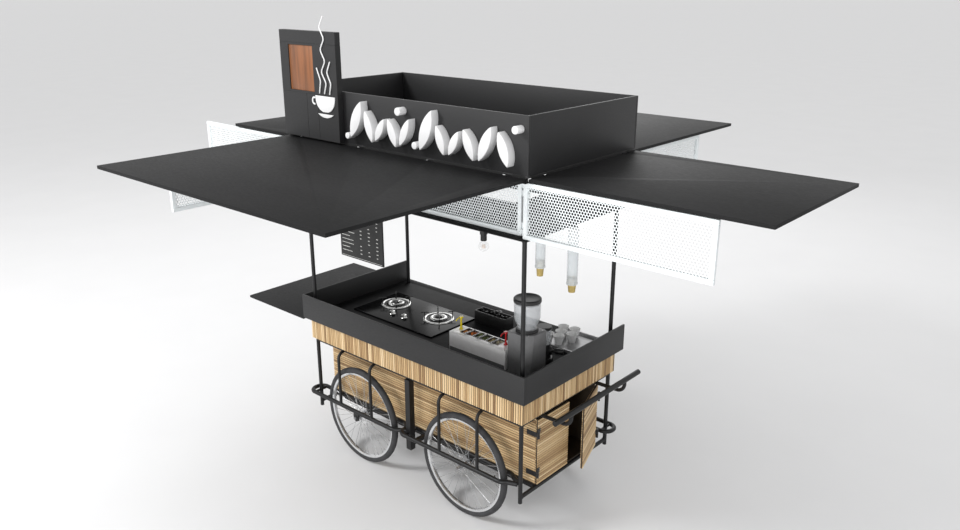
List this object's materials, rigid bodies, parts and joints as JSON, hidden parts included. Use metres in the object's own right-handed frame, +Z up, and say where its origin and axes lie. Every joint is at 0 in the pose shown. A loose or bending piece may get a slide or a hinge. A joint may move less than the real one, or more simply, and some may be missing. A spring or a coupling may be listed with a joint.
{
  "type": "push vending cart",
  "caption": "Four-wheeled push vending cart with a slatted cabinet, worktop with hob and serving equipment, and a canopy with lifting flaps on swinging mesh leaves.",
  "frame": {"origin": "on the ground under the middle of the cart's overall box", "axes": "+X towards the push handle, -Y towards the customers at the front, +Z up"},
  "size_m": [4.137, 3.465, 2.8872],
  "materials": {
    "frame_steel": "satin",
    "axle_steel": "brushed",
    "slatted_bamboo": "satin",
    "band_bamboo": "satin",
    "dark_board": "satin",
    "apron_board": "satin",
    "canopy_board": "satin",
    "flap_board": "satin",
    "hinge_steel": "satin",
    "mesh_white": "satin",
    "sign_board": "satin",
    "sign_wood": "satin",
    "white_plastic": "gloss",
    "hob_glass": "polished",
    "burner_steel": "brushed",
    "support_iron": "matt",
    "knob_metal": "brushed",
    "condiment_steel": "satin",
    "pan_steel": "brushed",
    "pump_yellow": "gloss",
    "pump_red": "gloss",
    "grinder_grey": "satin",
    "clear_plastic": "gloss",
    "black_plastic": "satin",
    "tray_steel": "brushed",
    "cup_ceramic": "gloss",
    "bracket_plastic": "satin",
    "bulb_glass": "clear",
    "tube_plastic": "clear",
    "kraft_paper": "matt",
    "menu_board": "matt",
    "tyre": "matt",
    "rim_alloy": "satin"
  },
  "bodies": {
    "cart": {"corner_posts": "frame_steel", "lower_frame": "frame_steel", "frame_rails": "frame_steel", "wheel_guards": "frame_steel", "ceiling_boards": "canopy_board", "axles": "axle_steel", "cabinet_shell": "slatted_bamboo", "counter_band": "band_bamboo", "countertop": "dark_board", "counter_apron": "apron_board", "canopy_box": "canopy_board", "hinge_rods": "hinge_steel", "push_handle": "frame_steel", "sign_board": "sign_board", "sign_inset": "sign_wood", "sign_icon": "white_plastic", "front_ornaments": "white_plastic", "hob_glass": "hob_glass", "hob_burners": "burner_steel", "pan_supports": "support_iron", "condiment_box": "condiment_steel", "condiment_pans": "pan_steel", "grinder_body": "grinder_grey", "grinder_hopper": "clear_plastic", "doser_base": "black_plastic", "doser_jar": "clear_plastic", "counter_trays": "tray_steel", "cups": "cup_ceramic", "rail_brackets": "bracket_plastic", "lamp_bulbs": "bulb_glass", "dispenser_tubes": "tube_plastic", "dispenser_cups": "kraft_paper", "menu_board": "menu_board"},
    "front_left_wheel": {"tyre_fl": "tyre", "spoked_rim_fl": "rim_alloy"},
    "front_right_wheel": {"tyre_fr": "tyre", "spoked_rim_fr": "rim_alloy"},
    "back_left_wheel": {"tyre_bl": "tyre", "spoked_rim_bl": "rim_alloy"},
    "back_right_wheel": {"tyre_br": "tyre", "spoked_rim_br": "rim_alloy"},
    "door_front": {"cabinet_door_front": "slatted_bamboo"},
    "door_back": {"cabinet_door_back": "slatted_bamboo"},
    "flap_front": {"roof_flap_front": "flap_board"},
    "flap_back": {"roof_flap_back": "flap_board"},
    "flap_right": {"roof_flap_right": "flap_board"},
    "flap_left": {"roof_flap_left": "flap_board"},
    "shelf": {"side_shelf": "flap_board"},
    "leaf_front_left": {"mesh_leaf_front_left": "mesh_white"},
    "leaf_front_right": {"mesh_leaf_front_right": "mesh_white"},
    "leaf_right": {"mesh_leaf_right": "mesh_white"},
    "leaf_left": {"mesh_leaf_left": "mesh_white"},
    "leaf_back_right": {"mesh_leaf_back_right": "mesh_white"},
    "leaf_back_left": {"mesh_leaf_back_left": "mesh_white"},
    "knob_left": {"hob_knob_left": "knob_metal"},
    "knob_right": {"hob_knob_right": "knob_metal"},
    "yellow_pump": {"pump_yellow": "pump_yellow"},
    "red_pump": {"pump_red": "pump_red"},
    "grinder_cover": {"grinder_lid": "black_plastic"},
    "doser_cover": {"doser_lid": "black_plastic"}
  },
  "joints": [
    {"name": "front_left_wheel_spin", "type": "hinge", "parent": "cart", "child": "front_left_wheel", "pos_m": [-0.5785, -0.431, 0.3325], "axis": [0, 1, 0], "continuous": true},
    {"name": "front_right_wheel_spin", "type": "hinge", "parent": "cart", "child": "front_right_wheel", "pos_m": [0.3355, -0.431, 0.3325], "axis": [0, 1, 0], "continuous": true},
    {"name": "back_left_wheel_spin", "type": "hinge", "parent": "cart", "child": "back_left_wheel", "pos_m": [-0.5785, 0.431, 0.3325], "axis": [0, 1, 0], "continuous": true},
    {"name": "back_right_wheel_spin", "type": "hinge", "parent": "cart", "child": "back_right_wheel", "pos_m": [0.3355, 0.431, 0.3325], "axis": [0, 1, 0], "continuous": true},
    {"name": "front_flap_lift", "type": "hinge", "parent": "cart", "child": "flap_front", "pos_m": [-0.1215, -0.4985, 2.151], "axis": [-1, 0, 0], "range_deg": [0, 15]},
    {"name": "back_flap_lift", "type": "hinge", "parent": "cart", "child": "flap_back", "pos_m": [-0.1215, 0.4985, 2.151], "axis": [1, 0, 0], "range_deg": [0, 15]},
    {"name": "right_flap_lift", "type": "hinge", "parent": "cart", "child": "flap_right", "pos_m": [0.8345, 0, 2.151], "axis": [0, -1, 0], "range_deg": [0, 15]},
    {"name": "left_flap_lift", "type": "hinge", "parent": "cart", "child": "flap_left", "pos_m": [-1.0775, 0, 2.151], "axis": [0, 1, 0], "range_deg": [0, 15]},
    {"name": "side_shelf_fold", "type": "hinge", "parent": "cart", "child": "shelf", "pos_m": [-1.0815, 0, 0.911], "axis": [0, 1, 0], "range_deg": [0, 90]},
    {"name": "front_left_leaf_swing", "type": "hinge", "parent": "cart", "child": "leaf_front_left", "pos_m": [-1.0095, -0.431, 1.99], "axis": [0, 0, 1], "range_deg": [0, 90]},
    {"name": "front_right_leaf_swing", "type": "hinge", "parent": "cart", "child": "leaf_front_right", "pos_m": [0.7665, -0.431, 1.99], "axis": [0, 0, 1], "range_deg": [0, 90]},
    {"name": "right_leaf_swing", "type": "hinge", "parent": "cart", "child": "leaf_right", "pos_m": [0.7665, -0.431, 1.99], "axis": [0, 0, 1], "range_deg": [0, 90]},
    {"name": "left_leaf_swing", "type": "hinge", "parent": "cart", "child": "leaf_left", "pos_m": [-1.0095, -0.431, 1.99], "axis": [0, 0, -1], "range_deg": [0, 90]},
    {"name": "back_right_leaf_swing", "type": "hinge", "parent": "cart", "child": "leaf_back_right", "pos_m": [0.7665, 0.431, 1.99], "axis": [0, 0, 1], "range_deg": [0, 90]},
    {"name": "back_left_leaf_swing", "type": "hinge", "parent": "cart", "child": "leaf_back_left", "pos_m": [-1.0095, 0.431, 1.99], "axis": [0, 0, 1], "range_deg": [0, 90]},
    {"name": "back_door_swing", "type": "hinge", "parent": "cart", "child": "door_back", "pos_m": [0.7905, 0.303, 0.53], "axis": [0, 0, 1], "range_deg": [-19.5, 75]},
    {"name": "front_door_swing", "type": "hinge", "parent": "cart", "child": "door_front", "pos_m": [0.7905, -0.303, 0.53], "axis": [0, 0, -1], "range_deg": [0, 94.5]},
    {"name": "left_knob_turn", "type": "hinge", "parent": "cart", "child": "knob_left", "pos_m": [-0.6265, -0.09, 0.96], "axis": [0, 0, 1], "range_deg": [0, 180]},
    {"name": "right_knob_turn", "type": "hinge", "parent": "cart", "child": "knob_right", "pos_m": [-0.5145, -0.09, 0.96], "axis": [0, 0, 1], "range_deg": [0, 180]},
    {"name": "yellow_pump_press", "type": "slide", "parent": "cart", "child": "yellow_pump", "axis": [0, 0, -1], "range_m": [0, 0.022], "stiffness_N_per_m": 150, "springref_m": -0.01},
    {"name": "red_pump_press", "type": "slide", "parent": "cart", "child": "red_pump", "axis": [0, 0, -1], "range_m": [0, 0.022], "stiffness_N_per_m": 150, "springref_m": -0.01},
    {"name": "grinder_lid_lift", "type": "slide", "parent": "cart", "child": "grinder_cover", "axis": [0, 0, 1], "range_m": [0, 0.08]},
    {"name": "doser_lid_lift", "type": "slide", "parent": "cart", "child": "doser_cover", "axis": [0, 0, 1], "range_m": [0, 0.06]}
  ]
}
